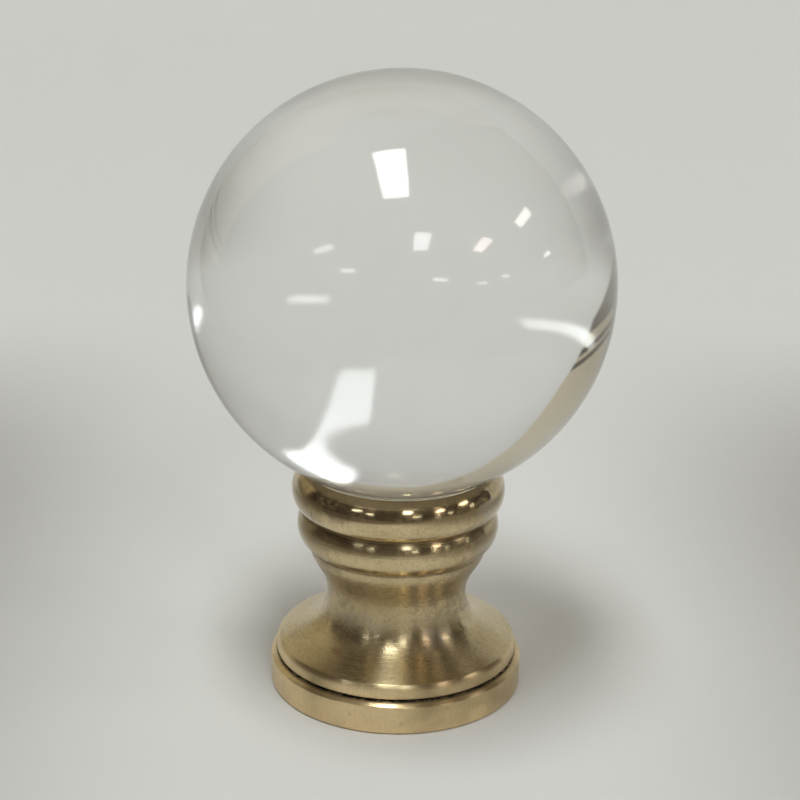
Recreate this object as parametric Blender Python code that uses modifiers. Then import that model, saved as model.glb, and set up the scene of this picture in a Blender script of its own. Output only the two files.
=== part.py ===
"""Lamp shade finial: a clear glass ball on a turned solid brass base.

Metres, +Z up. The origin is the centre of the underside, and +Z is the axis that both pieces
are turned about. Run it with blender --background --python part.py, or from the text editor.
"""

import math

import bmesh
import bpy
import numpy as np

# Glass ball
BALL_DIAMETER = 0.0380
SEAT_GAP = 0.0003

# Bottom disc of the base, with a bevel above and a small chamfer below
DISC_RADIUS = 0.01175
DISC_HEIGHT = 0.00295
DISC_BEVEL_WIDTH = 0.00035
DISC_BEVEL_DROP = 0.00025
DISC_BOTTOM_CHAMFER = 0.00020

# Turned groove above the disc, and the lip that the groove undercuts
LEDGE_WIDTH = 0.00055
GROOVE_HEIGHT = 0.00025
GROOVE_DEPTH = 0.00055
LIP_HEIGHT = 0.00136
LIP_SLOPE = 0.00030

# Bell of the foot: it drops straight from the neck and runs out on a shallow slope to the lip
FLARE_HEIGHT = 0.00474
FLARE_NECK_RUN = 0.00310
FLARE_LIP_RUN = 0.00320
FLARE_LIP_ANGLE = 24.0
NECK_RADIUS = 0.00650

# Collar under the beads: a soft cone that runs into the neck
COLLAR_RADIUS = 0.00817
COLLAR_HEIGHT = 0.00460
COLLAR_SHOULDER = 0.00140
COLLAR_SWELL = 0.00013
COLLAR_NECK_RUN = 0.00210

# Lower bead: its section is an arc of an ellipse, which ends on the collar's radius
LOWER_BEAD_RADIUS = 0.00928
LOWER_BEAD_HALF_HEIGHT = 0.00205
LOWER_BEAD_TOP_ANGLE = 43.0
LOWER_BEAD_FOOT_ANGLE = -72.0

# Crease between the beads
CREASE_HEIGHT = 0.00022
CREASE_DEPTH = 0.00012

# Upper bead, which carries the cup's rim
UPPER_BEAD_RADIUS = 0.00980
UPPER_BEAD_DEPTH = 0.00166
UPPER_BEAD_HALF_HEIGHT = 0.00211
UPPER_BEAD_BOTTOM_ANGLE = -62.0
UPPER_BEAD_RIM_ANGLE = 66.0

# Blind hole for the lamp's stud, at the thread's major diameter
THREAD_MAJOR_DIAMETER = 0.00635
THREAD_DEPTH = 0.0095
DRILL_POINT_ANGLE = 118.0
HOLE_CHAMFER = 0.00035

# Facets
BASE_STEPS = 64
BALL_SEGMENTS = 48
BALL_RINGS = 26
SEAT_POINTS = 7
BEAD_POINTS = 10
CURVE_POINTS = 8
FLARE_POINTS = 11
SHARP_ANGLE = math.radians(32.0)
MERGE_DISTANCE = 0.00001


def elliptic_arc(radius, middle, depth, half_height, start_angle, end_angle, count):
    """Points (r, z) on a bead's section, from start_angle to end_angle in degrees."""
    angles = np.radians(np.linspace(start_angle, end_angle, count))
    radii = radius - depth * (1.0 - np.cos(angles))
    heights = middle + half_height * np.sin(angles)
    return [(float(r), float(z)) for r, z in zip(radii, heights)]


def bezier(controls, count):
    """Points on the Bezier curve of these control points, both ends included."""
    degree = len(controls) - 1
    weights = [math.comb(degree, k) for k in range(degree + 1)]
    points = []
    for t in np.linspace(0.0, 1.0, count):
        shares = [w * t**k * (1.0 - t) ** (degree - k) for k, w in enumerate(weights)]
        r = sum(share * control[0] for share, control in zip(shares, controls))
        z = sum(share * control[1] for share, control in zip(shares, controls))
        points.append((float(r), float(z)))
    return points


class BaseLevels:
    """Heights and radii along the base, stacked up from the underside."""

    def __init__(self):
        self.lip_radius = DISC_RADIUS - LEDGE_WIDTH
        self.lip_bottom = DISC_HEIGHT + GROOVE_HEIGHT
        self.lip_top = self.lip_bottom + LIP_HEIGHT
        self.flare_radius = self.lip_radius - LIP_SLOPE
        self.neck = self.lip_top + FLARE_HEIGHT
        self.collar_top = self.neck + COLLAR_HEIGHT
        # The lower bead's section ends at the collar's radius, which settles its depth
        foot = math.radians(LOWER_BEAD_FOOT_ANGLE)
        self.lower_bead_depth = (LOWER_BEAD_RADIUS - COLLAR_RADIUS) / (1.0 - math.cos(foot))
        self.lower_bead_middle = self.collar_top - LOWER_BEAD_HALF_HEIGHT * math.sin(foot)
        top = math.radians(LOWER_BEAD_TOP_ANGLE)
        self.crease_bottom = self.lower_bead_middle + LOWER_BEAD_HALF_HEIGHT * math.sin(top)
        self.crease_top = self.crease_bottom + CREASE_HEIGHT
        bottom = math.radians(UPPER_BEAD_BOTTOM_ANGLE)
        self.upper_bead_middle = self.crease_top - UPPER_BEAD_HALF_HEIGHT * math.sin(bottom)
        rim = math.radians(UPPER_BEAD_RIM_ANGLE)
        self.rim_radius = UPPER_BEAD_RADIUS - UPPER_BEAD_DEPTH * (1.0 - math.cos(rim))
        self.rim_height = self.upper_bead_middle + UPPER_BEAD_HALF_HEIGHT * math.sin(rim)
        # The seat is the ball's own sphere, larger by the gap, through the rim
        self.seat_radius = BALL_DIAMETER / 2.0 + SEAT_GAP
        self.ball_height = self.rim_height + math.sqrt(self.seat_radius**2 - self.rim_radius**2)


def seat_points(levels):
    """The dish under the ball, from the axis out to the rim."""
    rim_angle = math.asin(levels.rim_radius / levels.seat_radius)
    points = []
    for angle in np.linspace(0.0, rim_angle, SEAT_POINTS):
        r = levels.seat_radius * math.sin(angle)
        z = levels.ball_height - levels.seat_radius * math.cos(angle)
        points.append((float(r), float(z)))
    return points


def bead_points(levels):
    """Both beads from the rim down, with the crease between them."""
    upper = elliptic_arc(UPPER_BEAD_RADIUS, levels.upper_bead_middle, UPPER_BEAD_DEPTH,
                         UPPER_BEAD_HALF_HEIGHT, UPPER_BEAD_RIM_ANGLE,
                         UPPER_BEAD_BOTTOM_ANGLE, BEAD_POINTS)
    lower = elliptic_arc(LOWER_BEAD_RADIUS, levels.lower_bead_middle, levels.lower_bead_depth,
                         LOWER_BEAD_HALF_HEIGHT, LOWER_BEAD_TOP_ANGLE,
                         LOWER_BEAD_FOOT_ANGLE, BEAD_POINTS)
    crease_radius = min(upper[-1][0], lower[0][0]) - CREASE_DEPTH
    crease_height = (levels.crease_bottom + levels.crease_top) / 2.0
    return upper[1:] + [(crease_radius, crease_height)] + lower


def neck_points(levels):
    """Collar, neck and bell of the foot, down to the lip's top edge."""
    collar = bezier([(COLLAR_RADIUS, levels.collar_top),
                     (COLLAR_RADIUS + COLLAR_SWELL, levels.collar_top - COLLAR_SHOULDER),
                     (NECK_RADIUS, levels.neck + COLLAR_NECK_RUN),
                     (NECK_RADIUS, levels.neck)], CURVE_POINTS)
    slope = math.radians(FLARE_LIP_ANGLE)
    shallow = (levels.flare_radius - FLARE_LIP_RUN * math.cos(slope),
               levels.lip_top + FLARE_LIP_RUN * math.sin(slope))
    flare = bezier([(NECK_RADIUS, levels.neck),
                    (NECK_RADIUS, levels.neck - FLARE_NECK_RUN),
                    shallow,
                    (levels.flare_radius, levels.lip_top)], FLARE_POINTS)
    return collar[1:] + flare[1:]


def foot_points(levels):
    """Lip, groove and bottom disc, down to the edge of the underside."""
    groove_radius = levels.lip_radius - GROOVE_DEPTH
    return [
        (levels.lip_radius, levels.lip_bottom),
        (groove_radius, levels.lip_bottom),
        (groove_radius, DISC_HEIGHT),
        (DISC_RADIUS - DISC_BEVEL_WIDTH, DISC_HEIGHT),
        (DISC_RADIUS, DISC_HEIGHT - DISC_BEVEL_DROP),
        (DISC_RADIUS, DISC_BOTTOM_CHAMFER),
        (DISC_RADIUS - DISC_BOTTOM_CHAMFER, 0.0),
    ]


def hole_points():
    """The blind hole, from its mouth in the underside up to the drill point on the axis."""
    radius = THREAD_MAJOR_DIAMETER / 2.0
    point_height = radius / math.tan(math.radians(DRILL_POINT_ANGLE / 2.0))
    return [
        (radius + HOLE_CHAMFER, 0.0),
        (radius, HOLE_CHAMFER),
        (radius, THREAD_DEPTH),
        (0.0, THREAD_DEPTH + point_height),
    ]


def turned_object(name, profile, steps, collection):
    """Turns a profile of (r, z) points about +Z with a Screw modifier."""
    mesh = bpy.data.meshes.new(name)
    edges = [(k, k + 1) for k in range(len(profile) - 1)]
    mesh.from_pydata([(r, 0.0, z) for r, z in profile], edges, [])
    turned = bpy.data.objects.new(name, mesh)
    collection.objects.link(turned)
    screw = turned.modifiers.new("turning", "SCREW")
    screw.axis = "Z"
    screw.steps = steps
    screw.render_steps = steps
    screw.use_merge_vertices = True
    screw.merge_threshold = MERGE_DISTANCE
    screw.use_smooth_shade = True
    return turned


def build_base(levels, collection, material):
    """The brass base, turned from one bar."""
    profile = seat_points(levels)
    profile += bead_points(levels)
    profile += neck_points(levels)
    profile += foot_points(levels)
    profile += hole_points()
    outline = turned_object("brass_base", profile, BASE_STEPS, collection)
    evaluated = outline.evaluated_get(bpy.context.evaluated_depsgraph_get())
    mesh = bpy.data.meshes.new_from_object(evaluated)
    mesh.name = "brass_base"
    mesh.shade_smooth()
    mesh.set_sharp_from_angle(angle=SHARP_ANGLE)
    bpy.data.objects.remove(outline, do_unlink=True)
    base = bpy.data.objects.new("brass_base", mesh)
    base.data.materials.append(material)
    collection.objects.link(base)
    return base


def build_ball(levels, collection, material):
    """The glass ball, seated in the base's dish."""
    mesh = bpy.data.meshes.new("glass_ball")
    shape = bmesh.new()
    bmesh.ops.create_uvsphere(shape, u_segments=BALL_SEGMENTS, v_segments=BALL_RINGS,
                              radius=BALL_DIAMETER / 2.0)
    shape.to_mesh(mesh)
    shape.free()
    mesh.shade_smooth()
    ball = bpy.data.objects.new("glass_ball", mesh)
    ball.location = (0.0, 0.0, levels.ball_height)
    ball.data.materials.append(material)
    collection.objects.link(ball)
    return ball


def principled(name, color, metallic, roughness):
    """A Principled material with plain values."""
    material = bpy.data.materials.new(name)
    material.use_nodes = True
    shader = material.node_tree.nodes["Principled BSDF"]
    shader.inputs["Base Color"].default_value = (*color, 1.0)
    shader.inputs["Metallic"].default_value = metallic
    shader.inputs["Roughness"].default_value = roughness
    return material


def glass_material():
    """Clear glass."""
    material = principled("clear_glass", (0.96, 0.97, 0.97), 0.0, 0.02)
    shader = material.node_tree.nodes["Principled BSDF"]
    shader.inputs["Transmission Weight"].default_value = 1.0
    shader.inputs["IOR"].default_value = 1.5
    return material


def main():
    """Clears the scene's objects and builds both pieces."""
    for existing in list(bpy.data.objects):
        bpy.data.objects.remove(existing, do_unlink=True)
    collection = bpy.data.collections.new("lamp_finial")
    bpy.context.scene.collection.children.link(collection)
    levels = BaseLevels()
    brass = principled("turned_brass", (0.60, 0.49, 0.28), 1.0, 0.22)
    build_base(levels, collection, brass)
    build_ball(levels, collection, glass_material())


main()
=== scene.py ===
"""Looks of the lamp shade finial: a clear glass ball in the cup of a turned brass base.

Metres, +Z up the axis that both pieces are turned about, origin at the centre of the underside.
"""

import logging
import math
from dataclasses import dataclass, field
from enum import Enum

import bmesh
import bpy
import numpy as np
from mathutils import Matrix, Vector


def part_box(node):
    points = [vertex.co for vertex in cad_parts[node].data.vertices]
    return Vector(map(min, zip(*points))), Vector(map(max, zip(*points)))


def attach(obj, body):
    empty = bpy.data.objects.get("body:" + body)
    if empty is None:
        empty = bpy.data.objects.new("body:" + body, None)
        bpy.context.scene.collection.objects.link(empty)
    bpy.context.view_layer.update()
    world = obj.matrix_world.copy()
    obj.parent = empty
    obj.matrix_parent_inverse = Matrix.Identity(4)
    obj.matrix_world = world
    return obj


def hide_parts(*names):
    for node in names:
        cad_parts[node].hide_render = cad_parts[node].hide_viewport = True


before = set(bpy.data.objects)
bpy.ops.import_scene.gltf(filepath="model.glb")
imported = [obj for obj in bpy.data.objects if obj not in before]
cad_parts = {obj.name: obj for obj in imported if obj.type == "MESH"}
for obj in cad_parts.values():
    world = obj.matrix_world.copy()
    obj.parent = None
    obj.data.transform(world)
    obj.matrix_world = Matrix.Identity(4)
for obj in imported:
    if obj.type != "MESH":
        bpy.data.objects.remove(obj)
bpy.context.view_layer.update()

LOG = logging.getLogger("finial")
MM = 0.001
BODY = "root"
MIX_COLOR_RESULT = 2
SAME_POINT = 1e-7
WELD = 0.01 * MM
SHARP_ANGLE = math.radians(40.0)

Point = tuple[float, float]
Corner = tuple[float, float, float]
Spot = tuple[float, float, float]
Color = tuple[float, float, float]
Owner = bpy.types.Material | bpy.types.World


class Slot(Enum):
    """Material slots of the record."""

    BRASS = "turned_brass"
    GLASS = "clear_glass"


class Signal:
    """A shader output that takes part in Python arithmetic."""

    def __init__(self, graph: "Graph", socket: bpy.types.NodeSocket) -> None:
        """Wraps a socket.

        Args:
            graph: The node graph that the socket is in.
            socket: An output socket that carries a number, colour or vector.
        """
        self.graph = graph
        self.socket = socket

    def _with(self, operation: str, first: "Number", second: "Number") -> "Signal":
        """Adds a Math node on two values and returns its result."""
        return self.graph.math(operation, first, second)

    def __add__(self, other: "Number") -> "Signal":
        """Sum."""
        return self._with("ADD", self, other)

    def __radd__(self, other: float) -> "Signal":
        """Sum with a plain number on the left."""
        return self._with("ADD", other, self)

    def __sub__(self, other: "Number") -> "Signal":
        """Difference."""
        return self._with("SUBTRACT", self, other)

    def __rsub__(self, other: float) -> "Signal":
        """Difference from a plain number."""
        return self._with("SUBTRACT", other, self)

    def __mul__(self, other: "Number") -> "Signal":
        """Product."""
        return self._with("MULTIPLY", self, other)

    def __rmul__(self, other: float) -> "Signal":
        """Product with a plain number on the left."""
        return self._with("MULTIPLY", other, self)

    def __truediv__(self, other: "Number") -> "Signal":
        """Quotient."""
        return self._with("DIVIDE", self, other)

    def __rtruediv__(self, other: float) -> "Signal":
        """Quotient of a plain number."""
        return self._with("DIVIDE", other, self)

    def __pow__(self, other: "Number") -> "Signal":
        """Power."""
        return self._with("POWER", self, other)

    def least(self, other: "Number") -> "Signal":
        """The smaller of two values."""
        return self._with("MINIMUM", self, other)

    def most(self, other: "Number") -> "Signal":
        """The larger of two values."""
        return self._with("MAXIMUM", self, other)

    def magnitude(self) -> "Signal":
        """The value without its sign."""
        return self.graph.math("ABSOLUTE", self)

    def rise(self, low: float, high: float) -> "Signal":
        """Smooth step from 0 at low to 1 at high, held outside them."""
        node = self.graph.node("ShaderNodeMapRange", {"interpolation_type": "SMOOTHSTEP"},
                               {"Value": self, "From Min": low, "From Max": high})
        return self.graph.out(node, "Result")


Number = Signal | float


class Graph:
    """Builds the node tree of one material or world."""

    def __init__(self, owner: Owner) -> None:
        """Empties the owner's tree.

        Args:
            owner: A new material or world.
        """
        self.owner = owner
        self.owner.use_nodes = True
        self.tree = self.owner.node_tree
        self.tree.nodes.clear()

    def node(self, kind: str, settings: dict[str, object] | None = None,
             sockets: dict[str, object] | None = None) -> bpy.types.Node:
        """Adds one node.

        Args:
            kind: The node's type name.
            settings: The node's own properties, set before its sockets.
            sockets: Values or links of its inputs, by name or identifier.

        Returns:
            The new node.
        """
        node = self.tree.nodes.new(kind)
        for key, value in (settings or {}).items():
            setattr(node, key, value)
        for key, value in (sockets or {}).items():
            target = self._input(node, key)
            if isinstance(value, Signal):
                self.tree.links.new(value.socket, target)
            else:
                target.default_value = value
        return node

    @staticmethod
    def _input(node: bpy.types.Node, key: str) -> bpy.types.NodeSocket:
        """Finds an input.

        Args:
            node: The node.
            key: The input's identifier, or else the name of the enabled one.

        Returns:
            The input.
        """
        for socket in node.inputs:
            if socket.identifier == key:
                return socket
        return next(socket for socket in node.inputs if socket.name == key and socket.enabled)

    def out(self, node: bpy.types.Node, name: str | int = 0) -> Signal:
        """Wraps an output of a node."""
        return Signal(self, node.outputs[name])

    def place(self, kind: str = "Object") -> Signal:
        """Coordinates of the shaded point."""
        return self.out(self.node("ShaderNodeTexCoord"), kind)

    def split(self, vector: Signal) -> tuple[Signal, Signal, Signal]:
        """The three numbers of a vector."""
        node = self.node("ShaderNodeSeparateXYZ", None, {"Vector": vector})
        return self.out(node, "X"), self.out(node, "Y"), self.out(node, "Z")

    def math(self, operation: str, *values: Number) -> Signal:
        """Adds a Math node.

        Args:
            operation: The Math node's operation.
            values: Its inputs in order.

        Returns:
            The result.
        """
        inputs = dict(zip(("Value", "Value_001", "Value_002"), values))
        return self.out(self.node("ShaderNodeMath", {"operation": operation}, inputs))

    def vector(self, x: Number, y: Number, z: Number) -> Signal:
        """Joins three numbers into a vector."""
        return self.out(self.node("ShaderNodeCombineXYZ", None, {"X": x, "Y": y, "Z": z}))

    def noise(self, vector: Signal, scale: float, detail: float = 2.0) -> Signal:
        """Noise between about 0 and 1, with mean 0.5."""
        node = self.node("ShaderNodeTexNoise", {"noise_dimensions": "3D"},
                         {"Vector": vector, "Scale": scale, "Detail": detail})
        return self.out(node, "Fac")

    def mix_color(self, share: Number, first: "Signal | Color", second: "Signal | Color") -> Signal:
        """Mixes two colours.

        Args:
            share: How much of the second colour.
            first: Colour at share 0.
            second: Colour at share 1.

        Returns:
            The mixed colour.
        """
        ends = [c if isinstance(c, Signal) else (*c, 1.0) for c in (first, second)]
        node = self.node("ShaderNodeMix", {"data_type": "RGBA"},
                         {"Factor_Float": share, "A_Color": ends[0], "B_Color": ends[1]})
        return self.out(node, MIX_COLOR_RESULT)

    def bump(self, height: Signal, distance: float, strength: float,
             normal: Signal | None = None) -> Signal:
        """Adds a Bump node.

        Args:
            height: Height of the surface, from 0 to 1.
            distance: The height's full range in metres.
            strength: How much of the bend is kept.
            normal: Normal that is bent, or else the surface's own.

        Returns:
            The bent normal.
        """
        sockets = {"Height": height, "Distance": distance, "Strength": strength}
        if normal is not None:
            sockets["Normal"] = normal
        return self.out(self.node("ShaderNodeBump", None, sockets))

    def finish(self, shader: bpy.types.Node, output: str = "ShaderNodeOutputMaterial") -> Owner:
        """Links the shader to the tree's output.

        Args:
            shader: The last shader node.
            output: The output node's type name.

        Returns:
            The finished material or world.
        """
        self.node(output, None, {"Surface": self.out(shader)})
        return self.owner


@dataclass(frozen=True)
class BrassField:
    """Place on the base, its zones, and the noises that the finish is mixed from.

    The zones are 1 on the polished upper bead, on both beads, and on the upright sides.
    """

    radius: Signal
    angle: Signal
    z: Signal
    polish: Signal
    beads: Signal
    side: Signal
    clouds: Signal
    patches: Signal
    edges: Signal
    specks: Signal
    tarnish: Signal
    dust: Signal
    rings: Signal
    fine: Signal
    grain: Signal


@dataclass(frozen=True)
class Mark:
    """A stain, worn patch or scratch on the brass; some marks are painted reflections and painted
    shade instead.

    The angle is in degrees about +Z from +X, the front being -90; lengths are in millimetres.
    """

    angle: float
    height: float
    width: float
    length: float
    color: Color
    share: float
    rough: float = 0.0
    ragged: float = 1.0

    def mask(self, at: BrassField) -> Signal:
        """Where the mark is.

        Args:
            at: The place on the base, whose fine noise makes the outline ragged.

        Returns:
            The mask, times the mark's share.
        """
        across = (at.angle - math.radians(self.angle)) * at.radius / (self.width * MM / 2.0)
        up = (at.z - self.height * MM) / (self.length * MM / 2.0)
        away = (across * across + up * up) ** 0.5 + (at.edges - 0.5) * (2.4 * self.ragged)
        return (1.0 - away.rise(0.45, 1.15)) * self.share


@dataclass(frozen=True)
class TurnedBrass:
    """Finish of the base: polished beads above, satin turned foot below, dirt in the creases.

    A noise is given as cells per metre and detail; depths and pitches are in metres.
    """

    bright: Color = (0.70, 0.57, 0.335)
    aged: Color = (0.50, 0.385, 0.20)
    stain: Color = (0.20, 0.135, 0.065)
    residue: Color = (0.018, 0.013, 0.008)
    # Lighter brass on the upright sides of the lip and disc, partly a painted sheen standing in for
    # the bright floor they reflect
    side_brass_and_sheen: Color = (0.93, 0.73, 0.425)
    # Pale cement in the dish and on the rim, near-white partly as a painted highlight on the rim
    # line
    cement_and_rim_glint: Color = (0.97, 0.90, 0.70)
    polished_roughness: float = 0.11
    bead_roughness: float = 0.18
    foot_roughness: float = 0.27
    residue_roughness: float = 0.5
    crease_roughness: float = 0.25
    cement_roughness: float = 0.05
    least_roughness: float = 0.05
    anisotropy: float = 0.95
    grain_turn: float = 0.25
    lacquer: float = 0.5
    worn_lacquer: float = 0.3
    lacquer_roughness: float = 0.09
    clouds: Point = (190.0, 3.0)
    patches: Point = (420.0, 4.0)
    edges: Point = (1300.0, 5.0)
    specks: Point = (1900.0, 2.0)
    tarnish: Point = (110.0, 5.0)
    dust: Point = (4200.0, 2.0)
    feed_pitch: float = 0.22 * MM
    ring_drift: float = 0.22
    fine_drift: float = 1.4
    fine_scale: float = 3.1
    grain_around: float = 150.0
    grain_up: float = 380.0
    ring_depth: float = 0.0115 * MM
    fine_depth: float = 0.0030 * MM
    grain_depth: float = 0.0030 * MM
    cloud_depth: float = 0.045 * MM
    patch_depth: float = 0.0080 * MM
    speck_depth: float = 0.0016 * MM
    tarnish_share: float = 0.55
    dust_share: float = 0.28
    side_dust_share: float = 0.11
    grain_share: float = 0.22
    smear_share: float = 0.5
    stain_share: float = 0.35
    most_dirt: float = 0.9
    crease_reach: float = 0.42 * MM
    collar_reach: float = 0.26 * MM
    marks: tuple[Mark, ...] = (
        Mark(-142.5, 18.7, 0.16, 1.9, (0.20, 0.135, 0.065), 0.8, 0.2, 0.1),
        Mark(-118.0, 6.70, 1.30, 0.70, (0.17, 0.12, 0.07), 0.40, 0.10, 1.5),
        Mark(-128.0, 5.60, 1.60, 0.40, (0.42, 0.22, 0.12), 0.45, 0.05),
        # Painted reflections, the next five marks: pale patches on the foot, and silvery patches on
        # the beads' right side
        Mark(-106.0, 7.90, 3.40, 1.20, (0.74, 0.67, 0.52), 0.35, 0.10, 1.4),
        Mark(-124.0, 8.30, 4.60, 2.20, (0.56, 0.50, 0.40), 0.35, 0.08, 1.4),
        Mark(-58.0, 7.20, 2.20, 1.80, (0.58, 0.54, 0.48), 0.40, 0.08, 1.4),
        Mark(-34.0, 19.6, 3.00, 2.40, (0.72, 0.69, 0.64), 0.45, 0.08, 1.5),
        Mark(-33.0, 15.6, 2.40, 1.60, (0.70, 0.67, 0.62), 0.40, 0.08, 1.5),
        # Painted reflection, the next mark only: purple-brown patch on the upper bead's left
        Mark(-121.0, 19.7, 3.60, 1.30, (0.22, 0.14, 0.11), 0.45, 0.04, 1.2),
        Mark(-96.0, 20.1, 2.60, 0.70, (0.34, 0.25, 0.14), 0.35, 0.04, 1.4),
        Mark(-124.0, 17.2, 7.00, 1.00, (0.16, 0.105, 0.05), 0.55, 0.08, 0.6),
        # Painted shade, the next three marks: darker brass down the left and right sides of the
        # beads and collar, and on the foot's right
        Mark(-155.0, 15.0, 9.00, 15.0, (0.30, 0.235, 0.14), 0.50, 0.05, 0.8),
        Mark(-25.0, 15.0, 9.00, 16.0, (0.30, 0.235, 0.14), 0.55, 0.05, 0.8),
        Mark(-52.0, 7.5, 7.00, 6.0, (0.36, 0.29, 0.18), 0.40, 0.04, 0.9),
        Mark(-110.0, 1.70, 0.50, 0.35, (0.40, 0.31, 0.19), 0.30, 0.03, 1.4),
        Mark(-87.0, 1.15, 0.45, 0.30, (0.40, 0.31, 0.19), 0.30, 0.03, 1.4),
        Mark(-66.0, 2.30, 0.60, 0.35, (0.50, 0.28, 0.12), 0.50, 0.05),
    )

    def material(self, base: "BrassBase") -> bpy.types.Material:
        """Builds the material.

        Args:
            base: The piece, whose levels place the dirt and the zones.

        Returns:
            The material.
        """
        g = Graph(bpy.data.materials.new("turned_brass"))
        at = self._field(g, base)
        residue, smear = self._groove_dirt(at, base)
        creases = self._crease_dirt(at, base)
        cement_and_rim_glint = self._cement_and_rim_glint(at, base)
        tone = self._tone(g, at, creases, smear)
        gloss = self._gloss(at)
        # Marks: stains, worn patches and scratches, and also painted reflections and painted shade
        for mark in self.marks:
            mask = mark.mask(at)
            tone = g.mix_color(mask, tone, mark.color)
            gloss = gloss + mask * mark.rough
        tone = g.mix_color(residue, tone, self.residue)
        # pale cement on the rim and dish, partly a painted highlight
        tone = g.mix_color(cement_and_rim_glint, tone, self.cement_and_rim_glint)
        gloss = gloss + residue * self.residue_roughness + creases * self.crease_roughness
        gloss = gloss + cement_and_rim_glint * self.cement_roughness
        shader = g.node("ShaderNodeBsdfPrincipled", None, {
            "Base Color": tone,
            "Metallic": 1.0 - (residue * 0.9).most(cement_and_rim_glint),
            "Roughness": gloss.most(self.least_roughness),
            "Anisotropic": self.anisotropy,
            "Anisotropic Rotation": self.grain_turn,
            "Coat Weight": at.polish * (self.lacquer - self.worn_lacquer) + self.worn_lacquer,
            "Coat Roughness": self.lacquer_roughness,
            "Normal": self._relief(g, at),
        })
        return g.finish(shader)

    def _field(self, g: Graph, base: "BrassBase") -> BrassField:
        """Measures the place on the base and makes the noises.

        Args:
            g: The graph.
            base: The piece, whose levels place the zones.

        Returns:
            The place, zones and noises.
        """
        place = g.place()
        x, y, z = g.split(place)
        radius = (x * x + y * y) ** 0.5
        angle = g.math("ARCTAN2", y, x)
        # Feed marks are even along the angle and fast along the section
        out, up = radius / self.feed_pitch, z / self.feed_pitch
        rings = g.noise(g.vector(out, up, angle * self.ring_drift), 1.0, 2.0)
        fine = g.noise(g.vector(out, up, angle * self.fine_drift), self.fine_scale, 1.0)
        grain = g.noise(g.vector(angle * self.grain_around, z * self.grain_up, 0.0), 1.0, 3.0)
        return BrassField(
            radius=radius, angle=angle, z=z,
            polish=z.rise(base.crease_middle - 0.15 * MM, base.crease_middle + 0.15 * MM),
            beads=z.rise(base.collar_top - 0.15 * MM, base.collar_top + 0.25 * MM),
            side=radius.rise(base.lip_radius - 0.35 * MM, base.lip_radius - 0.05 * MM),
            clouds=g.noise(place, *self.clouds),
            patches=g.noise(g.vector(x, y, z * 0.6), *self.patches),
            edges=g.noise(place, *self.edges),
            specks=g.noise(place, *self.specks),
            tarnish=g.noise(g.vector(x, y, z * 1.5), *self.tarnish),
            dust=g.noise(place, *self.dust),
            rings=rings, fine=fine, grain=grain)

    def _tone(self, g: Graph, at: BrassField, creases: Signal, smear: Signal) -> Signal:
        """Colour of the brass with its tarnish, dust and dirt and the painted sheen on its upright
        sides, without the marks.

        Args:
            g: The graph.
            at: The place on the base.
            creases: Where the creases are dirty.
            smear: Where the brown smear beside the groove is.

        Returns:
            The colour.
        """
        worn = at.clouds.rise(0.35, 0.75) * 0.45 + at.patches.rise(0.5, 0.8) * 0.25
        worn = (worn + at.tarnish.rise(0.46, 0.66) * self.tarnish_share).least(1.0)
        dust = self.dust_share - at.side * (self.dust_share - self.side_dust_share)
        stains = (at.specks.rise(0.70, 0.78) * at.clouds.rise(0.45, 0.62)).least(1.0)
        # the upright sides take the lighter brass, partly a painted sheen
        tone = g.mix_color(at.side, self.bright, self.side_brass_and_sheen)
        tone = g.mix_color(worn, tone, self.aged)
        tone = g.mix_color(at.dust.rise(0.42, 0.72) * dust, tone, self.stain)
        tone = g.mix_color(at.side * at.grain.rise(0.35, 0.8) * self.grain_share, tone, self.aged)
        dirt = (creases + smear * self.smear_share).least(self.most_dirt)
        tone = g.mix_color(dirt, tone, self.stain)
        return g.mix_color(stains * self.stain_share, tone, self.stain)

    def _gloss(self, at: BrassField) -> Signal:
        """Roughness of the clean brass.

        Args:
            at: The place on the base.

        Returns:
            The roughness.
        """
        gloss = at.polish * (self.polished_roughness - self.bead_roughness)
        gloss = gloss + at.beads * (self.bead_roughness - self.foot_roughness) + self.foot_roughness
        gloss = gloss + (at.clouds - 0.5) * 0.08 + at.side * 0.05 + (at.fine - 0.5) * 0.05
        return gloss + at.tarnish.rise(0.5, 0.7) * 0.05

    def _relief(self, g: Graph, at: BrassField) -> Signal:
        """Normal of the turned and worn surface.

        Args:
            g: The graph.
            at: The place on the base.

        Returns:
            The normal.
        """
        satin = (1.0 - at.polish * 0.9) * (1.0 - at.side)
        normal = g.bump(at.rings * satin, self.ring_depth, 1.0)
        for height, depth in ((at.fine * satin, self.fine_depth),
                              (at.grain * at.side, self.grain_depth),
                              (at.clouds * at.polish, self.cloud_depth),
                              (at.patches, self.patch_depth),
                              (at.specks * at.beads, self.speck_depth)):
            normal = g.bump(height, depth, 1.0, normal)
        return normal

    @staticmethod
    def _cement_and_rim_glint(at: BrassField, base: "BrassBase") -> Signal:
        """Pale clear cement that lines the dish and shows as a thin line at the rim; its near-white
        colour is partly a painted highlight on that line.

        Args:
            at: The place on the base.
            base: The piece, whose dish is lined.

        Returns:
            The mask of the cement and its painted rim highlight.
        """
        inside = 1.0 - at.radius.rise(base.rim_radius - 0.002 * MM, base.rim_radius + 0.008 * MM)
        return inside * at.z.rise(base.crease_middle + 0.9 * MM, base.crease_middle + 1.1 * MM)

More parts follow.
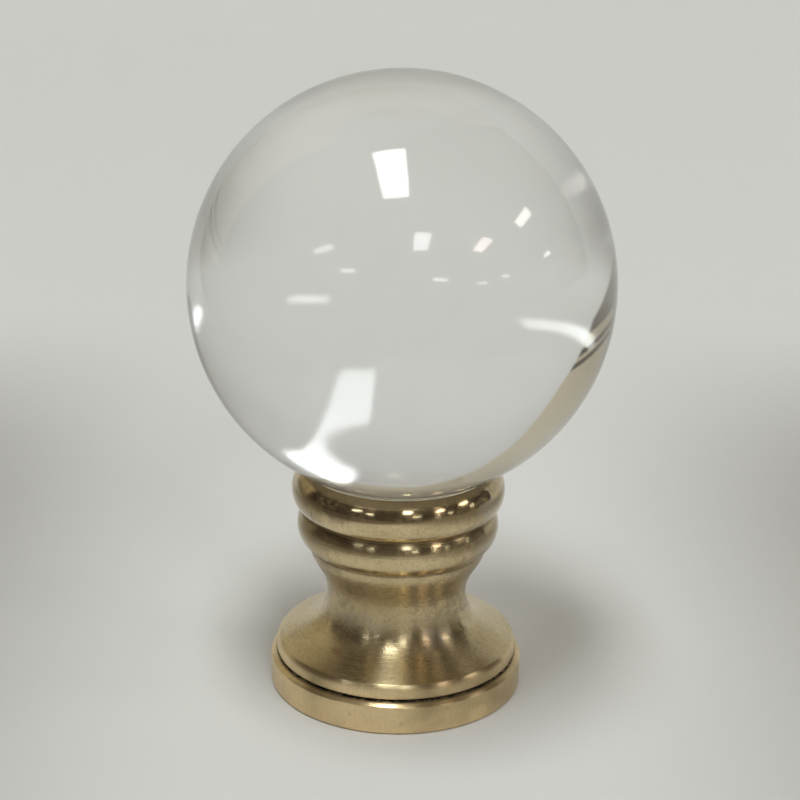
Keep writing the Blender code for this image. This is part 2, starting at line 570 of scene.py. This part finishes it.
    @staticmethod
    def _groove_dirt(at: BrassField, base: "BrassBase") -> tuple[Signal, Signal]:
        """Black residue that fills the groove, and the brown smear beside it.

        Args:
            at: The place on the base.
            base: The piece, whose groove is dirty.

        Returns:
            The residue's mask and the smear's mask.
        """
        uneven = at.patches * 0.5 + at.edges * 0.5
        middle = (base.disc_height + base.lip_bottom) / 2.0
        half = base.groove_height / 2.0
        away = (at.z + (uneven - 0.5) * (0.40 * MM) - middle).magnitude()
        reach = at.radius + (uneven - 0.5) * (0.90 * MM)
        inside = 1.0 - reach.rise(base.lip_radius - 0.06 * MM, base.lip_radius + 0.06 * MM)
        outside = at.radius.rise(base.groove_radius - 0.20 * MM, base.groove_radius - 0.10 * MM)
        residue = (1.0 - away.rise(half - 0.02 * MM, half + 0.05 * MM)) * inside * outside
        ledge = at.radius.rise(base.lip_radius, base.lip_radius + 0.10 * MM)
        smear = (1.0 - away.rise(half, half + 0.30 * MM)) * outside * (1.0 - ledge * 0.8)
        return residue, smear * uneven.rise(0.35, 0.6)

    def _crease_dirt(self, at: BrassField, base: "BrassBase") -> Signal:
        """Brown dirt in the two creases under the beads.

        Args:
            at: The place on the base.
            base: The piece, whose creases are dirty.

        Returns:
            The dirt's mask.
        """
        total: Number = 0.0
        for level, reach in ((base.crease_middle, self.crease_reach),
                             (base.collar_top, self.collar_reach)):
            near = 1.0 - (at.z - level).magnitude().rise(0.05 * MM, reach)
            total = near * at.radius.rise(base.neck_radius, base.neck_radius + 0.4 * MM) + total
        return total * (at.clouds.rise(0.2, 0.7) * 0.55 + 0.35)


@dataclass(frozen=True)
class ClearGlass:
    """Finish of the ball: clear polished glass with faint smudges."""

    tint: Color = (0.985, 0.99, 0.985)
    refraction: float = 1.485
    roughness: float = 0.07
    smudge_roughness: float = 0.03

    def material(self) -> bpy.types.Material:
        """Builds the material.

        Returns:
            The material.
        """
        g = Graph(bpy.data.materials.new("clear_glass"))
        place = g.place()
        smudges = g.noise(place, 95.0, 4.0).rise(0.60, 0.75)
        waviness = g.noise(place, 60.0, 1.0)
        shader = g.node("ShaderNodeBsdfPrincipled", None, {
            "Base Color": (*self.tint, 1.0),
            "Roughness": smudges * self.smudge_roughness + self.roughness,
            "IOR": self.refraction,
            "Transmission Weight": 1.0,
            "Normal": g.bump(waviness, 0.004 * MM, 1.0),
        })
        return g.finish(shader)


@dataclass(frozen=True)
class StagePaper:
    """Matt pale paper, painted lighter towards its top to make up for the weaker light on its
    upright part. The blend is a height in metres.
    """

    name: str
    foot: Color
    color: Color
    blend: float = 0.25

    def material(self) -> bpy.types.Material:
        """Builds the material.

        Returns:
            The material.
        """
        g = Graph(bpy.data.materials.new(self.name))
        place = g.place()
        fibres = g.noise(place, 300.0, 3.0)
        _, _, z = g.split(place)
        # painted light: lighter colour higher up, where less light falls
        return self.dress(g, g.mix_color(z.rise(0.0, self.blend), self.foot, self.color), fibres)

    @staticmethod
    def dress(g: Graph, tone: Signal, fibres: Signal, glow: float = 0.0) -> bpy.types.Material:
        """Matt shader with faint fibres.

        Args:
            g: The graph.
            tone: The surface's colour.
            fibres: Noise for the bump.
            glow: Light from lamps that are off the stage, as a share of the colour.

        Returns:
            The material.
        """
        shader = g.node("ShaderNodeBsdfPrincipled", None, {
            "Base Color": tone,
            "Roughness": 0.9,
            "Specular IOR Level": 0.1,
            "Emission Color": tone,
            "Emission Strength": glow,
            "Normal": g.bump(fibres, 0.02 * MM, 0.3),
        })
        return g.finish(shader)


@dataclass(frozen=True)
class FloorPaper:
    """Pale floor, darker in front, with painted shade beside the object, and dark bench past its
    left edge.

    Starts, ends, offsets and fades are in metres from the axis.
    """

    near: Color = (0.83, 0.835, 0.82)
    far: Color = (0.38, 0.355, 0.32)
    bench: Color = (0.19, 0.165, 0.138)
    bench_light: Color = (0.235, 0.207, 0.175)
    front_start: float = 0.075
    front_end: float = 0.19
    left_offset: float = 0.085
    left_slant: float = 0.73
    left_fade: float = 0.010
    # Painted shade on the floor to the left and right of the object
    side: Color = (0.38, 0.37, 0.35)
    side_shade_start: float = 0.013
    side_shade_end: float = 0.070
    back_start: float = 0.03
    back_end: float = 0.12

    def material(self) -> bpy.types.Material:
        """Builds the material.

        Returns:
            The material.
        """
        g = Graph(bpy.data.materials.new("floor_paper"))
        place = g.place()
        x, y, _ = g.split(place)
        fibres = g.noise(place, 300.0, 3.0)
        reach = (x * x + y * y) ** 0.5
        front = reach.rise(self.front_start, self.front_end) * (1.0 - y.rise(-0.06, 0.02))
        left = (x * -1.0 - y * self.left_slant).rise(self.left_offset,
                                                     self.left_offset + self.left_fade)
        cloudy = g.noise(place, 9.0, 2.0).rise(0.30, 0.70)
        bench = g.mix_color(cloudy, self.bench, self.bench_light)
        # painted shade beside the object, fading out behind it
        beside = x.magnitude().rise(self.side_shade_start, self.side_shade_end)
        beside = beside * (1.0 - y.rise(self.back_start, self.back_end))
        paper = g.mix_color(front, g.mix_color(beside, self.near, self.side), self.far)
        tone = g.mix_color(left, paper, bench)
        return StagePaper.dress(g, tone, fibres)


@dataclass(frozen=True)
class WallPaint:
    """Beige wall with two dark rails near its foot. Heights are in metres."""

    beige: Color = (0.60, 0.55, 0.42)
    rail: Color = (0.09, 0.075, 0.06)
    rails: tuple[Point, ...] = ((0.062, 0.105), (0.122, 0.165))
    glow: float = 0.28

    def material(self) -> bpy.types.Material:
        """Builds the material.

        Returns:
            The material.
        """
        g = Graph(bpy.data.materials.new("wall_paint"))
        place = g.place()
        _, _, z = g.split(place)
        tone: Signal | Color = self.beige
        for low, high in self.rails:
            rail = z.rise(low, low + 0.01) * (1.0 - z.rise(high - 0.01, high))
            tone = g.mix_color(rail, tone, self.rail)
        return StagePaper.dress(g, tone, g.noise(place, 8.0, 2.0), self.glow)


def placed(name: str, data: bpy.types.ID) -> bpy.types.Object:
    """Adds an object with this data to the scene."""
    item = bpy.data.objects.new(name, data)
    bpy.context.scene.collection.objects.link(item)
    return item


class Section:
    """Points (r, z) of a turned section, from the top of the outside round to the axis."""

    def __init__(self) -> None:
        """Starts an empty section."""
        self.points: list[Point] = []

    def add(self, points: list[Point]) -> None:
        """Appends points, without one that repeats the last.

        Args:
            points: The points in order.
        """
        for point in points:
            if self.points and math.dist(point, self.points[-1]) < SAME_POINT:
                continue
            self.points.append((float(point[0]), float(point[1])))

    @staticmethod
    def arc(radius: float, middle: float, depth: float, half: float, start: float, end: float,
            count: int) -> list[Point]:
        """Arc of an ellipse that bulges outwards.

        Args:
            radius: Largest radius, at angle 0.
            middle: Height of that largest radius.
            depth: The ellipse's half width.
            half: The ellipse's half height.
            start: First angle in degrees.
            end: Last angle in degrees.
            count: Number of points.

        Returns:
            The points.
        """
        angles = np.radians(np.linspace(start, end, count))
        return list(zip(radius - depth * (1.0 - np.cos(angles)), middle + half * np.sin(angles)))

    @staticmethod
    def bezier(controls: list[Point], count: int) -> list[Point]:
        """Bezier curve of any degree.

        Args:
            controls: Its control points.
            count: Number of points on it.

        Returns:
            The points.
        """
        degree = len(controls) - 1
        points = np.zeros((count, 2))
        t = np.linspace(0.0, 1.0, count)
        for k, control in enumerate(controls):
            share = math.comb(degree, k) * t**k * (1.0 - t) ** (degree - k)
            points += share[:, None] * np.array(control)[None, :]
        return [tuple(point) for point in points]

    @classmethod
    def rounded(cls, corners: list[Corner], count: int = 5) -> list[Point]:
        """Straight runs with eased corners.

        Args:
            corners: Radius, height and ease of each corner. The first and last stay sharp.
            count: Points on each eased corner.

        Returns:
            The points.
        """
        points = [corners[0][:2]]
        for before, corner, after in zip(corners, corners[1:], corners[2:]):
            start, turn, end = (Vector(p[:2]) for p in (before, corner, after))
            first = turn + (start - turn).normalized() * corner[2]
            last = turn + (end - turn).normalized() * corner[2]
            points += cls.bezier([tuple(first), corner[:2], tuple(last)], count)
        return points + [corners[-1][:2]]


@dataclass
class BrassBase:
    """The brass base, turned from one bar and tapped from below. Lengths are in metres."""

    disc_radius: float = 11.75 * MM
    disc_height: float = 2.95 * MM
    disc_bevel_width: float = 0.35 * MM
    disc_bevel_drop: float = 0.25 * MM
    disc_bottom_chamfer: float = 0.20 * MM
    ledge_width: float = 0.55 * MM
    groove_height: float = 0.25 * MM
    groove_depth: float = 0.55 * MM
    lip_height: float = 1.36 * MM
    lip_slope: float = 0.30 * MM
    lip_edge_run: float = 0.12 * MM
    lip_edge_rise: float = 0.0534 * MM
    lip_round_width: float = 0.03 * MM
    lip_round_drop: float = 0.38 * MM
    lip_foot_ease: float = 0.10 * MM
    flare_height: float = 4.74 * MM
    flare_neck_run: float = 3.10 * MM
    flare_lip_run: float = 3.20 * MM
    flare_lip_angle: float = 24.0
    flare_end: float = 0.13 * MM
    neck_radius: float = 6.50 * MM
    collar_radius: float = 8.17 * MM
    collar_height: float = 4.60 * MM
    collar_shoulder: float = 1.40 * MM
    collar_swell: float = 0.13 * MM
    collar_neck_run: float = 2.10 * MM
    lower_bead_radius: float = 9.28 * MM
    lower_bead_half: float = 2.05 * MM
    lower_bead_top: float = 43.0
    lower_bead_foot: float = -72.0
    crease_height: float = 0.22 * MM
    crease_depth: float = 0.16 * MM
    upper_bead_radius: float = 9.80 * MM
    upper_bead_depth: float = 1.66 * MM
    upper_bead_half: float = 2.11 * MM
    upper_bead_bottom: float = -62.0
    upper_bead_rim: float = 74.0
    rim_ease: float = 0.13 * MM
    seat_clearance: float = 0.03 * MM
    thread_major: float = 3.175 * MM
    thread_minor: float = 2.75 * MM
    thread_pitch: float = 25.4 * MM / 27.0
    thread_length: float = 9.50 * MM
    thread_flat: float = 0.125
    thread_run_out: float = 0.6
    thread_rows: int = 8
    mouth_chamfer: float = 0.35 * MM
    drill_angle: float = 118.0
    feed_mark: float = 0.0013 * MM
    feed_step: float = 0.24 * MM
    feed_fade: float = 0.5 * MM
    feed_draws: int = 24
    feed_seed: int = 4
    flare_points: int = 150
    segments: int = 200
    lip_bottom: float = field(init=False)
    lip_radius: float = field(init=False)
    groove_radius: float = field(init=False)
    lip_top: float = field(init=False)
    neck: float = field(init=False)
    collar_top: float = field(init=False)
    lower_bead_middle: float = field(init=False)
    lower_bead_depth: float = field(init=False)
    crease_middle: float = field(init=False)
    upper_bead_middle: float = field(init=False)
    rim_radius: float = field(init=False)

    def __post_init__(self) -> None:
        """Stacks the levels up from the underside."""
        self.lip_bottom = self.disc_height + self.groove_height
        self.lip_radius = self.disc_radius - self.ledge_width
        self.groove_radius = self.lip_radius - self.groove_depth
        self.lip_top = self.lip_bottom + self.lip_height
        self.neck = self.lip_top + self.flare_height
        self.collar_top = self.neck + self.collar_height
        foot = math.radians(self.lower_bead_foot)
        self.lower_bead_middle = self.collar_top - self.lower_bead_half * math.sin(foot)
        shrink = self.lower_bead_radius - self.collar_radius
        self.lower_bead_depth = shrink / (1.0 - math.cos(foot))
        top = math.radians(self.lower_bead_top)
        crease_bottom = self.lower_bead_middle + self.lower_bead_half * math.sin(top)
        self.crease_middle = crease_bottom + self.crease_height / 2.0
        bottom = math.radians(self.upper_bead_bottom)
        crease_top = crease_bottom + self.crease_height
        self.upper_bead_middle = crease_top - self.upper_bead_half * math.sin(bottom)
        rim = math.radians(self.upper_bead_rim)
        self.rim_radius = self.upper_bead_radius - self.upper_bead_depth * (1.0 - math.cos(rim))

    def cup(self, ball: "GlassBall") -> list[Point]:
        """Dish under the ball, from the axis to the rim, and the rim's eased edge.

        Args:
            ball: The ball that sits in it.

        Returns:
            The points.
        """
        rim = math.radians(self.upper_bead_rim)
        rim_height = self.upper_bead_middle + self.upper_bead_half * math.sin(rim)
        sphere = ball.radius + self.seat_clearance
        inner = self.rim_radius - self.rim_ease
        limit = math.asin(inner / sphere)
        dish = [(sphere * math.sin(a), ball.height - sphere * math.cos(a))
                for a in np.linspace(0.0, limit, 18)]
        top = dish[-1][1] + self.rim_ease * 0.25
        return dish[:-1] + Section.bezier([dish[-1], (inner + self.rim_ease * 0.55, top),
                                           (self.rim_radius, rim_height)], 6)

    def beads(self) -> list[Point]:
        """Both beads from the rim down, with the crease between them.

        Returns:
            The points.
        """
        upper = Section.arc(self.upper_bead_radius, self.upper_bead_middle, self.upper_bead_depth,
                            self.upper_bead_half, self.upper_bead_rim, self.upper_bead_bottom, 30)
        lower = Section.arc(self.lower_bead_radius, self.lower_bead_middle, self.lower_bead_depth,
                            self.lower_bead_half, self.lower_bead_top, self.lower_bead_foot, 28)
        crease = min(upper[-1][0], lower[0][0]) - self.crease_depth
        valley = Section.bezier([upper[-1], (crease, self.crease_middle), lower[0]], 7)
        return upper[1:-1] + valley + lower[1:]

    def waist(self) -> list[Point]:
        """Collar and neck.

        Returns:
            The points.
        """
        swell = (self.collar_radius + self.collar_swell, self.collar_top - self.collar_shoulder)
        controls = [(self.collar_radius, self.collar_top), swell,
                    (self.neck_radius, self.neck + self.collar_neck_run),
                    (self.neck_radius, self.neck)]
        return Section.bezier(controls, 34)[1:]

    def bell(self) -> list[Point]:
        """Bell of the foot with the tool's feed marks, from the neck to the lip's top edge.

        Returns:
            The points.
        """
        slope = math.radians(self.flare_lip_angle)
        edge = self.lip_radius - self.lip_slope
        controls = [(self.neck_radius, self.neck),
                    (self.neck_radius, self.neck - self.flare_neck_run),
                    (edge - self.flare_lip_run * math.cos(slope),
                     self.lip_top + self.flare_lip_run * math.sin(slope)),
                    (edge, self.lip_top)]
        points = np.array(Section.bezier(controls, self.flare_points))
        along = np.concatenate([[0.0], np.cumsum(np.linalg.norm(np.diff(points, axis=0), axis=1))])
        random = np.random.default_rng(self.feed_seed)
        draws = random.uniform(0.1, 1.0, self.feed_draws)
        depth = np.interp(along, np.linspace(0.0, along[-1], self.feed_draws), draws)
        fade = np.clip(np.minimum(along, along[-1] - along) / self.feed_fade, 0.0, 1.0)
        cut = self.feed_mark * depth * fade * np.sin(2.0 * math.pi * along / self.feed_step)
        points[:, 0] -= np.abs(cut)
        return [tuple(point) for point in points[1:] if point[0] < edge - self.flare_end]

    def foot(self) -> list[Point]:
        """Lip, groove, bottom disc and underside, down to the mouth of the hole.

        Returns:
            The points.
        """
        edge = self.lip_radius - self.lip_slope
        mouth = self.thread_major + self.mouth_chamfer
        return Section.rounded([
            (edge - self.lip_edge_run, self.lip_top + self.lip_edge_rise, 0.0),
            (edge, self.lip_top, 0.07 * MM),
            (self.lip_radius - self.lip_round_width, self.lip_top - self.lip_round_drop, 0.22 * MM),
            (self.lip_radius, self.lip_bottom + self.lip_foot_ease, 0.05 * MM),
            (self.lip_radius - self.lip_foot_ease, self.lip_bottom, 0.04 * MM),
            (self.groove_radius, self.lip_bottom, 0.05 * MM),
            (self.groove_radius, self.disc_height, 0.05 * MM),
            (self.disc_radius - self.disc_bevel_width, self.disc_height, 0.08 * MM),
            (self.disc_radius, self.disc_height - self.disc_bevel_drop, 0.10 * MM),
            (self.disc_radius, self.disc_bottom_chamfer, 0.08 * MM),
            (self.disc_radius - self.disc_bottom_chamfer, 0.0, 0.07 * MM),
            (mouth, 0.0, 0.05 * MM),
            (self.thread_major, self.mouth_chamfer, 0.0),
        ])

    def hole(self) -> tuple[np.ndarray, np.ndarray]:
        """Threaded wall, from the mouth up to its end, and the drill point.

        Returns:
            Radii and heights, a row for each height and a column for each segment.
        """
        rows = int(self.thread_length / self.thread_pitch * self.thread_rows)
        heights = np.linspace(self.mouth_chamfer, self.thread_length, rows)[1:]
        turn = np.arange(self.segments) / self.segments
        phase = (heights[:, None] / self.thread_pitch - turn[None, :]) % 1.0
        steep = 2.0 * (1.0 + 2.0 * self.thread_flat)
        flank = np.clip((0.5 - np.abs(phase - 0.5)) * steep - self.thread_flat, 0.0, 1.0)
        ends = np.minimum(heights - self.mouth_chamfer, self.thread_length - heights)
        fade = np.clip(ends / (self.thread_run_out * self.thread_pitch), 0.0, 1.0)[:, None]
        radii = self.thread_major - (self.thread_major - self.thread_minor) * flank * fade
        return radii, np.repeat(heights[:, None], self.segments, axis=1)

    def build(self, ball: "GlassBall") -> bpy.types.Object:
        """Turns and taps the base.

        Args:
            ball: The ball that sits in the cup.

        Returns:
            The finished piece.
        """
        section = Section()
        for part in (self.cup(ball), self.beads(), self.waist(), self.bell(), self.foot()):
            section.add(part)
        outline = np.array(section.points)
        radii = np.repeat(outline[:, :1], self.segments, axis=1)
        heights = np.repeat(outline[:, 1:], self.segments, axis=1)
        hole_radii, hole_heights = self.hole()
        radii = np.vstack([radii[1:], hole_radii])
        heights = np.vstack([heights[1:], hole_heights])
        point = self.thread_major / math.tan(math.radians(self.drill_angle / 2.0))
        base = turned("brass_base_turned", radii, heights, outline[0, 1],
                      self.thread_length + point)
        base.data.materials.append(TurnedBrass().material(self))
        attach(base, BODY)
        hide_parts("brass_base")
        return base


def turned(name: str, radii: np.ndarray, heights: np.ndarray, top: float,
           end: float) -> bpy.types.Object:
    """Makes a closed mesh from rings of points about +Z.

    Args:
        name: The piece's name.
        radii: Radius of each ring's points, a row for each ring.
        heights: Height of each ring's points.
        top: Height of the first point on the axis, inside the first ring.
        end: Height of the last point on the axis, inside the last ring.

    Returns:
        The object, smooth with sharp edges where the section turns hard.
    """
    rows, columns = radii.shape
    angles = 2.0 * math.pi * np.arange(columns) / columns
    rings = np.stack([radii * np.cos(angles), radii * np.sin(angles), heights], axis=-1)
    vertices = np.vstack([rings.reshape(-1, 3), [[0.0, 0.0, top]], [[0.0, 0.0, end]]])
    first, last = rows * columns, rows * columns + 1
    faces: list[tuple[int, ...]] = []
    for column in range(columns):
        beside = (column + 1) % columns
        faces.append((first, column, beside))
        for row in range(rows - 1):
            upper, lower = row * columns, (row + 1) * columns
            faces.append((upper + column, lower + column, lower + beside, upper + beside))
        bottom = (rows - 1) * columns
        faces.append((bottom + beside, bottom + column, last))
    mesh = bpy.data.meshes.new(name)
    mesh.from_pydata(vertices.tolist(), [], faces)
    mesh.validate()
    mesh.shade_smooth()
    mesh.set_sharp_from_angle(angle=SHARP_ANGLE)
    return placed(name, mesh)


@dataclass
class GlassBall:
    """The clear glass ball. Its size and place are the frame's."""

    radius: float
    height: float
    subdivisions: int = 7

    @classmethod
    def from_frame(cls) -> "GlassBall":
        """Reads the ball's size and place from the frame's node."""
        low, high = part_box("glass_ball")
        return cls(radius=(high[2] - low[2]) / 2.0, height=(high[2] + low[2]) / 2.0)

    def build(self) -> bpy.types.Object:
        """Makes the ball.

        Returns:
            The finished piece.
        """
        mesh = bpy.data.meshes.new("glass_ball_clear")
        shape = bmesh.new()
        bmesh.ops.create_icosphere(shape, subdivisions=self.subdivisions, radius=self.radius)
        bmesh.ops.translate(shape, verts=shape.verts, vec=(0.0, 0.0, self.height))
        shape.to_mesh(mesh)
        shape.free()
        mesh.shade_smooth()
        ball = placed("glass_ball_clear", mesh)
        ball.data.materials.append(ClearGlass().material())
        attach(ball, BODY)
        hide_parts("glass_ball")
        return ball


@dataclass(frozen=True)
class Panel:
    """A soft rectangular ceiling light, facing down. Lengths in metres, turn in degrees."""

    name: str
    x: float
    y: float
    width: float
    length: float
    turn: float
    radiance: float
    color: Color = (0.965, 1.0, 1.0)


@dataclass
class Studio:
    """Pale floor, a sweep of pale paper behind, a beige wall past the paper's edge, and lights.

    Bearings are in degrees, 0 straight behind the object and positive to the right.
    """

    floor_size: float = 3.2
    panel_height: float = 1.85
    sweep_start: float = 0.40
    sweep_radius: float = 0.22
    paper_top: tuple[Point, ...] = (
        (-45.5, 0.0), (-44.4, 0.009), (-39.1, 0.071), (-35.0, 0.116), (-31.7, 0.192),
        (-28.6, 0.266), (-25.2, 0.333), (-21.5, 0.397), (-15.2, 0.465), (-6.0, 0.525),
        (12.0, 0.53), (20.0, 0.56), (32.0, 0.60), (45.0, 0.58), (55.0, 0.42), (63.0, 0.18),
        (68.0, 0.0))
    paper_columns: int = 90
    paper_rows: int = 20
    paper_sink: float = 0.02 * MM
    paper_color: Color = (0.93, 0.935, 0.92)
    wall_distance: float = 1.30
    wall_left: float = -68.0
    wall_right: float = 40.0
    wall_low: float = 0.0
    wall_high: float = 2.20
    wall_columns: int = 12
    room_color: Color = (0.150, 0.136, 0.113)
    room_dark: float = 0.75
    room_light: float = 3.2
    clutter_color: Color = (0.045, 0.032, 0.030)
    ceiling_color: Color = (0.19, 0.172, 0.145)
    panels: tuple[Panel, ...] = (
        Panel("near_light", -0.165, -0.505, 0.43, 0.97, 5.0, 14.0),
        Panel("front_light", 0.48, -2.30, 0.40, 0.75, 3.0, 9.5),
        Panel("right_light", 2.83, -0.35, 0.40, 0.66, 3.0, 12.0, (1.0, 0.95, 0.88)),
        Panel("far_right_light", 2.27, -2.00, 0.40, 0.70, 3.0, 12.0, (1.0, 0.87, 0.83)),
        Panel("far_left_light", -2.55, -2.35, 1.00, 0.30, 8.0, 6.0),
        Panel("back_left_light", -2.37, -4.13, 0.70, 0.35, 0.0, 9.0),
        Panel("back_light", 1.91, -5.13, 0.80, 0.35, 0.0, 11.0),
        Panel("back_right_light", 4.99, -5.41, 0.80, 0.40, 0.0, 12.0),
        Panel("last_right_light", 6.02, -3.92, 0.80, 0.40, 0.0, 10.0),
        Panel("side_light", 6.85, -0.47, 0.60, 0.60, 0.0, 12.0),
    )

    def floor(self) -> bpy.types.Object:
        """Lays the floor.

        Returns:
            The floor.
        """
        half = self.floor_size / 2.0
        corners = [(-half, -half, 0.0), (half, -half, 0.0), (half, half, 0.0), (-half, half, 0.0)]
        return self._sheet("studio_floor", [corners], FloorPaper().material())

    def paper(self) -> bpy.types.Object:
        """Hangs the paper, which curves up from the floor behind the object.

        Returns:
            The paper.
        """
        columns = []
        quarter = self.sweep_radius * math.pi / 2.0
        bearings, heights = zip(*self.paper_top)
        for bearing in np.linspace(bearings[0], bearings[-1], self.paper_columns):
            top = float(np.interp(bearing, bearings, heights))
            bend = min(1.0, top / self.sweep_radius)
            length = self.sweep_radius * math.acos(1.0 - bend) + max(0.0, top - self.sweep_radius)
            column = []
            for along in np.linspace(0.0, length, self.paper_rows):
                turn = min(along, quarter) / self.sweep_radius
                reach = self.sweep_start + self.sweep_radius * math.sin(turn)
                height = self.sweep_radius * (1.0 - math.cos(turn)) + max(0.0, along - quarter)
                column.append(self._spot(bearing, reach, height - self.paper_sink))
            columns.append(column)
        faces = [[left[k], right[k], right[k + 1], left[k + 1]]
                 for left, right in zip(columns, columns[1:]) for k in range(self.paper_rows - 1)]
        finish = StagePaper("paper", FloorPaper.near, self.paper_color)
        return self._sheet("studio_paper", faces, finish.material())

    def wall(self) -> bpy.types.Object:
        """Stands the beige wall behind the paper, on the left.

        Returns:
            The wall.
        """
        bearings = np.linspace(self.wall_left, self.wall_right, self.wall_columns)
        low, high = self.wall_low, self.wall_high
        faces = [[self._spot(bearing, self.wall_distance, height)
                  for bearing, height in ((a, low), (b, low), (b, high), (a, high))]
                 for a, b in zip(bearings, bearings[1:])]
        return self._sheet("studio_wall", faces, WallPaint().material())

    @staticmethod
    def _spot(bearing: float, reach: float, height: float) -> Spot:
        """Point at a bearing in degrees, a distance from the axis and a height."""
        turn = math.radians(bearing)
        return (reach * math.sin(turn), reach * math.cos(turn), height)

    @staticmethod
    def _sheet(name: str, faces: list[list[Spot]], finish: bpy.types.Material) -> bpy.types.Object:
        """Makes a stage surface.

        Args:
            name: Its name.
            faces: Its faces as lists of corners.
            finish: Its material.

        Returns:
            The object.
        """
        shape = bmesh.new()
        for corners in faces:
            shape.faces.new([shape.verts.new(corner) for corner in corners])
        bmesh.ops.remove_doubles(shape, verts=shape.verts, dist=WELD)
        mesh = bpy.data.meshes.new(name)
        shape.to_mesh(mesh)
        shape.free()
        mesh.shade_smooth()
        sheet = placed(name, mesh)
        sheet.data.materials.append(finish)
        return sheet

    def lights(self) -> None:
        """Hangs the ceiling lights."""
        for panel in self.panels:
            data = bpy.data.lights.new(panel.name, "AREA")
            data.shape = "RECTANGLE"
            data.size, data.size_y = panel.width, panel.length
            data.energy = panel.radiance * panel.width * panel.length * math.pi
            data.color = panel.color
            light = placed(panel.name, data)
            light.location = (panel.x, panel.y, self.panel_height)
            light.rotation_euler = (0.0, 0.0, math.radians(panel.turn))

    def room(self) -> None:
        """Sets the dim, uneven room round the stage."""
        g = Graph(bpy.data.worlds.new("dim_room"))
        place = g.place("Generated")
        uneven = g.noise(place, 3.2, 3.0).rise(0.45, 0.75)
        clutter = g.noise(place, 11.0, 4.0).rise(0.40, 0.62)
        dark = tuple(c * self.room_dark for c in self.room_color)
        light = tuple(c * self.room_light for c in self.room_color)
        shade = g.mix_color(clutter, self.clutter_color, g.mix_color(uneven, dark, light))
        _, _, up = g.split(place)
        shade = g.mix_color(up.rise(0.55, 0.95), shade, self.ceiling_color)
        shader = g.node("ShaderNodeBackground", None, {"Color": shade})
        bpy.context.scene.world = g.finish(shader, "ShaderNodeOutputWorld")


@dataclass
class PhotoCamera:
    """Camera at the photograph's viewing angle.

    Lengths are in metres, angles in degrees, and the lens and film in millimetres.
    """

    distance: float = 170.8 * MM
    elevation: float = 19.6
    aim_height: float = 27.66 * MM
    roll: float = 1.03
    lens: float = 85.0
    film_width: float = 36.0
    nearest: float = 0.01
    farthest: float = 20.0

    def build(self) -> bpy.types.Object:
        """Makes the scene's camera.

        Returns:
            The camera.
        """
        data = bpy.data.cameras.new("photo_camera")
        data.lens = self.lens
        data.sensor_width = self.film_width
        data.clip_start, data.clip_end = self.nearest, self.farthest
        camera = placed("photo_camera", data)
        rise = math.radians(self.elevation)
        back = Vector((0.0, -math.cos(rise), math.sin(rise)))
        facing = (-back).to_track_quat("-Z", "Y").to_matrix().to_4x4()
        turn = Matrix.Rotation(math.radians(self.roll), 4, "Z")
        spot = back * self.distance + Vector((0.0, 0.0, self.aim_height))
        camera.matrix_world = Matrix.Translation(spot) @ facing @ turn
        bpy.context.scene.camera = camera
        return camera


def main() -> None:
    """Builds the studio and both pieces, and reports each."""
    logging.basicConfig(level=logging.INFO, format="%(message)s")
    bpy.context.scene.view_settings.view_transform = "Standard"
    PhotoCamera().build()
    studio = Studio()
    studio.floor()
    studio.paper()
    studio.wall()
    studio.lights()
    studio.room()
    ball = GlassBall.from_frame()
    for piece in (ball.build(), BrassBase().build(ball)):
        LOG.info("%s: %d faces, rides on %s", piece.name, len(piece.data.polygons), BODY)


if __name__ == "__main__":
    main()
